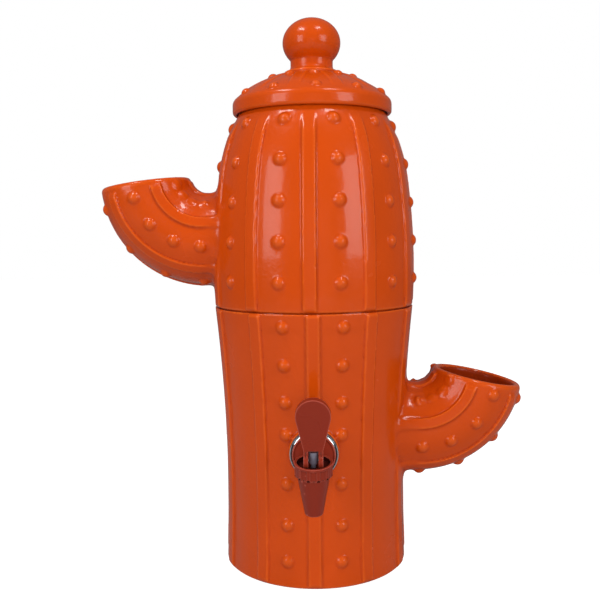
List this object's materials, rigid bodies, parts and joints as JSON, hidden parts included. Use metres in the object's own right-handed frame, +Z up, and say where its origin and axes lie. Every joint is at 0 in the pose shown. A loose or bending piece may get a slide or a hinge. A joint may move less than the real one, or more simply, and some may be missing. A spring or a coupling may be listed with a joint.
{
  "type": "water dispenser",
  "caption": "Stacked clay water pots shaped like a cactus, with two open arms, a knobbed lid, a candle filter with a float valve, and a lever tap low on the front.",
  "frame": {"origin": "centre of the underside of the lower pot", "axes": "+Z up along the pots' axis, -Y towards the tap's side (the front), +X towards the lower arm"},
  "size_m": [0.3341, 0.2012, 0.4297],
  "materials": {
    "glazed_clay": "glossy orange glaze over clay",
    "tap_plastic": "satin brick-brown moulded plastic",
    "chrome_ring": "polished",
    "rubber": "matt black",
    "white_plastic": "off-white moulded plastic",
    "steel": "bright drawn wire",
    "grey_plastic": "dark grey moulded plastic",
    "candle_ceramic": "unglazed microporous",
    "carbon": "pressed block",
    "float_plastic": "moulded"
  },
  "bodies": {
    "lower_vessel": {"lower_pot": "glazed_clay", "lower_arm": "glazed_clay", "tap_body": "tap_plastic", "tap_bonnet": "tap_plastic", "bonnet_gasket": "rubber", "tap_escutcheon": "chrome_ring", "tap_outer_washer": "rubber", "tap_inner_washer": "rubber", "tap_lock_nut": "white_plastic", "valve_spring": "steel"},
    "valve": {"valve_stem": "grey_plastic", "valve_seal": "rubber"},
    "lever": {"tap_lever": "tap_plastic", "lever_pin": "steel"},
    "upper_vessel": {"upper_pot": "glazed_clay", "upper_arm": "glazed_clay", "candle_shell": "candle_ceramic", "candle_carbon": "carbon", "candle_base": "white_plastic", "candle_washer": "rubber", "floor_washer": "rubber", "candle_nut": "white_plastic", "float_valve_body": "white_plastic", "float_pin": "steel"},
    "float": {"float_arm": "white_plastic", "float_ball": "float_plastic", "float_seal": "rubber"},
    "lid": {"lid": "glazed_clay", "lid_knob": "glazed_clay"}
  },
  "joints": [
    {"name": "lever_turn", "type": "hinge", "parent": "valve", "child": "lever", "pos_m": [0, -0.10623, 0.10828], "axis": [1, 0, 0], "range_deg": [0, 60]},
    {"name": "valve_lift", "type": "slide", "parent": "lower_vessel", "child": "valve", "axis": [0, -0.1564, 0.9877], "range_m": [0, 0.0026], "deforming": ["valve_spring"]},
    {"name": "upper_lift", "type": "slide", "parent": "lower_vessel", "child": "upper_vessel", "axis": [0, 0, 1], "range_m": [0, 0.08]},
    {"name": "lid_lift", "type": "slide", "parent": "upper_vessel", "child": "lid", "axis": [0, 0, 1], "range_m": [0, 0.06]},
    {"name": "float_swing", "type": "hinge", "parent": "upper_vessel", "child": "float", "pos_m": [-0.013, 0, 0.1748], "axis": [0, -1, 0], "range_deg": [0, 25]}
  ],
  "couplings": [
    {"joint": "valve_lift", "follows": "lever_turn", "m_per_rad": 0.0024}
  ]
}
